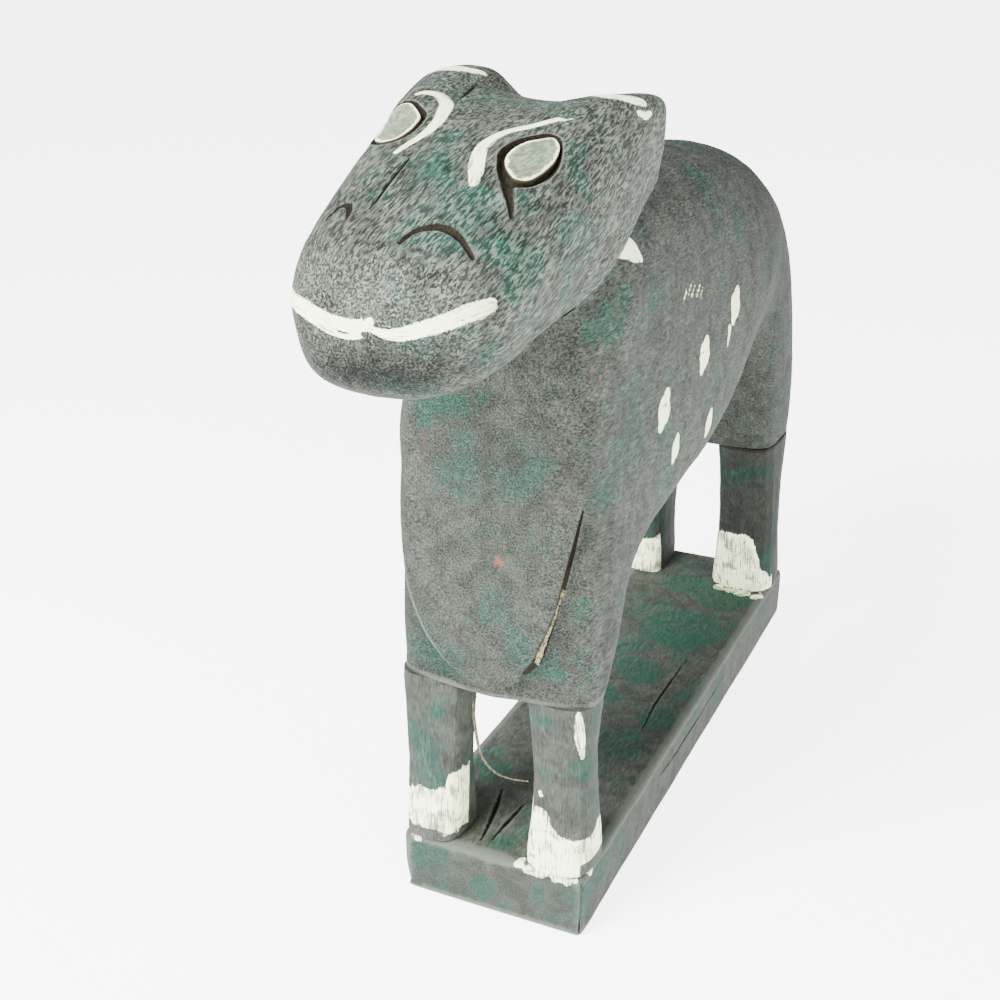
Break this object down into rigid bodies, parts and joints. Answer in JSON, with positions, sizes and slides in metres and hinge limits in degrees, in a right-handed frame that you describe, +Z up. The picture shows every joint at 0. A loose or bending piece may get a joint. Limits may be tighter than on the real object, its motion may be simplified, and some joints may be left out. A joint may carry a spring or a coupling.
{
  "type": "carved animal figure",
  "caption": "Hand-carved and painted wooden animal standing on a long rectangular plinth, glued and dowelled from separate blocks.",
  "frame": {"origin": "centre of the plinth's underside", "axes": "+Z up, -Y the way the animal faces, +X its left side"},
  "size_m": [0.0884, 0.4054, 0.3287],
  "materials": {
    "painted_wood": "dark green and grey paint, rubbed back and matt",
    "pale_painted_wood": "pale green paint, matt",
    "dowel_wood": "bare",
    "filler": "pale wood filler, matt"
  },
  "bodies": {
    "root": {"plinth": "painted_wood", "torso": "painted_wood", "head": "painted_wood", "front_left_leg": "painted_wood", "front_right_leg": "painted_wood", "hind_left_leg": "painted_wood", "hind_right_leg": "painted_wood", "left_eye": "pale_painted_wood", "right_eye": "pale_painted_wood", "crack_filler": "filler", "neck_dowel_left": "dowel_wood", "neck_dowel_right": "dowel_wood", "front_left_leg_dowel": "dowel_wood", "front_right_leg_dowel": "dowel_wood", "hind_left_leg_dowel": "dowel_wood", "hind_right_leg_dowel": "dowel_wood", "front_left_foot_dowel": "dowel_wood", "front_right_foot_dowel": "dowel_wood", "hind_left_foot_dowel": "dowel_wood", "hind_right_foot_dowel": "dowel_wood"}
  },
  "joints": []
}
